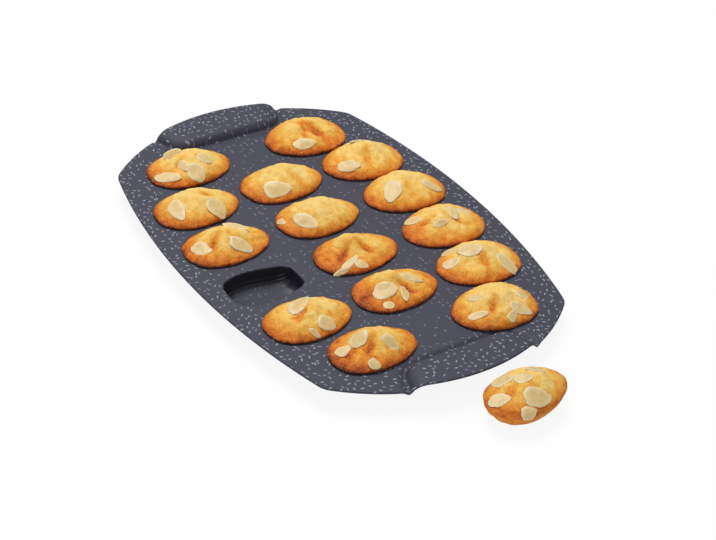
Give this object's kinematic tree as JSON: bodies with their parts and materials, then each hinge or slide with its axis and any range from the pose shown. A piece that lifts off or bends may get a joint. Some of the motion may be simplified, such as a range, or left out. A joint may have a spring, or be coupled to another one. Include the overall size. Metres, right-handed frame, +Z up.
{
  "type": "madeleine pan",
  "caption": "Flexible moulded tray with fluted shell-shaped cups and raised hollow handles, shown with its almond-topped madeleines.",
  "frame": {"origin": "on the shelf that the cups rest on, under the middle of the tray", "axes": "+Z up out of the cups, +X along the tray to the handle beside the turned-out cake, +Y to its right-hand side"},
  "size_m": [0.4567, 0.2836, 0.0361],
  "materials": {
    "silicone": "matt moulded silicone with pale flecks",
    "cake": "baked sponge",
    "almond": "sliced almond"
  },
  "bodies": {
    "tray": {"mould_tray": "silicone"},
    "cake_row1_left": {"madeleine_row1_left": "cake", "almonds_row1_left": "almond"},
    "cake_row1_right": {"madeleine_row1_right": "cake", "almonds_row1_right": "almond"},
    "cake_row2_left": {"madeleine_row2_left": "cake", "almonds_row2_left": "almond"},
    "cake_row2_middle": {"madeleine_row2_middle": "cake", "almonds_row2_middle": "almond"},
    "cake_row2_right": {"madeleine_row2_right": "cake", "almonds_row2_right": "almond"},
    "cake_row3_left": {"madeleine_row3_left": "cake", "almonds_row3_left": "almond"},
    "cake_row3_middle": {"madeleine_row3_middle": "cake", "almonds_row3_middle": "almond"},
    "cake_row3_right": {"madeleine_row3_right": "cake", "almonds_row3_right": "almond"},
    "cake_row4_middle": {"madeleine_row4_middle": "cake", "almonds_row4_middle": "almond"},
    "cake_row4_right": {"madeleine_row4_right": "cake", "almonds_row4_right": "almond"},
    "cake_row5_left": {"madeleine_row5_left": "cake", "almonds_row5_left": "almond"},
    "cake_row5_middle": {"madeleine_row5_middle": "cake", "almonds_row5_middle": "almond"},
    "cake_row5_right": {"madeleine_row5_right": "cake", "almonds_row5_right": "almond"},
    "cake_row6_left": {"madeleine_row6_left": "cake", "almonds_row6_left": "almond"},
    "cake_row6_right": {"madeleine_row6_right": "cake", "almonds_row6_right": "almond"},
    "cake_turned_out": {"madeleine_turned_out": "cake", "almonds_turned_out": "almond"}
  },
  "joints": [
    {"name": "lift_row1_left", "type": "slide", "parent": "tray", "child": "cake_row1_left", "axis": [0, 0, 1], "range_m": [0, 0.06]},
    {"name": "lift_row1_right", "type": "slide", "parent": "tray", "child": "cake_row1_right", "axis": [0, 0, 1], "range_m": [0, 0.06]},
    {"name": "lift_row2_left", "type": "slide", "parent": "tray", "child": "cake_row2_left", "axis": [0, 0, 1], "range_m": [0, 0.06]},
    {"name": "lift_row2_middle", "type": "slide", "parent": "tray", "child": "cake_row2_middle", "axis": [0, 0, 1], "range_m": [0, 0.06]},
    {"name": "lift_row2_right", "type": "slide", "parent": "tray", "child": "cake_row2_right", "axis": [0, 0, 1], "range_m": [0, 0.06]},
    {"name": "lift_row3_left", "type": "slide", "parent": "tray", "child": "cake_row3_left", "axis": [0, 0, 1], "range_m": [0, 0.06]},
    {"name": "lift_row3_middle", "type": "slide", "parent": "tray", "child": "cake_row3_middle", "axis": [0, 0, 1], "range_m": [0, 0.06]},
    {"name": "lift_row3_right", "type": "slide", "parent": "tray", "child": "cake_row3_right", "axis": [0, 0, 1], "range_m": [0, 0.06]},
    {"name": "lift_row4_middle", "type": "slide", "parent": "tray", "child": "cake_row4_middle", "axis": [0, 0, 1], "range_m": [0, 0.06]},
    {"name": "lift_row4_right", "type": "slide", "parent": "tray", "child": "cake_row4_right", "axis": [0, 0, 1], "range_m": [0, 0.06]},
    {"name": "lift_row5_left", "type": "slide", "parent": "tray", "child": "cake_row5_left", "axis": [0, 0, 1], "range_m": [0, 0.06]},
    {"name": "lift_row5_middle", "type": "slide", "parent": "tray", "child": "cake_row5_middle", "axis": [0, 0, 1], "range_m": [0, 0.06]},
    {"name": "lift_row5_right", "type": "slide", "parent": "tray", "child": "cake_row5_right", "axis": [0, 0, 1], "range_m": [0, 0.06]},
    {"name": "lift_row6_left", "type": "slide", "parent": "tray", "child": "cake_row6_left", "axis": [0, 0, 1], "range_m": [0, 0.06]},
    {"name": "lift_row6_right", "type": "slide", "parent": "tray", "child": "cake_row6_right", "axis": [0, 0, 1], "range_m": [0, 0.06]},
    {"name": "lift_turned_out", "type": "slide", "parent": "tray", "child": "cake_turned_out", "axis": [0, 0, 1], "range_m": [0, 0.06]}
  ]
}
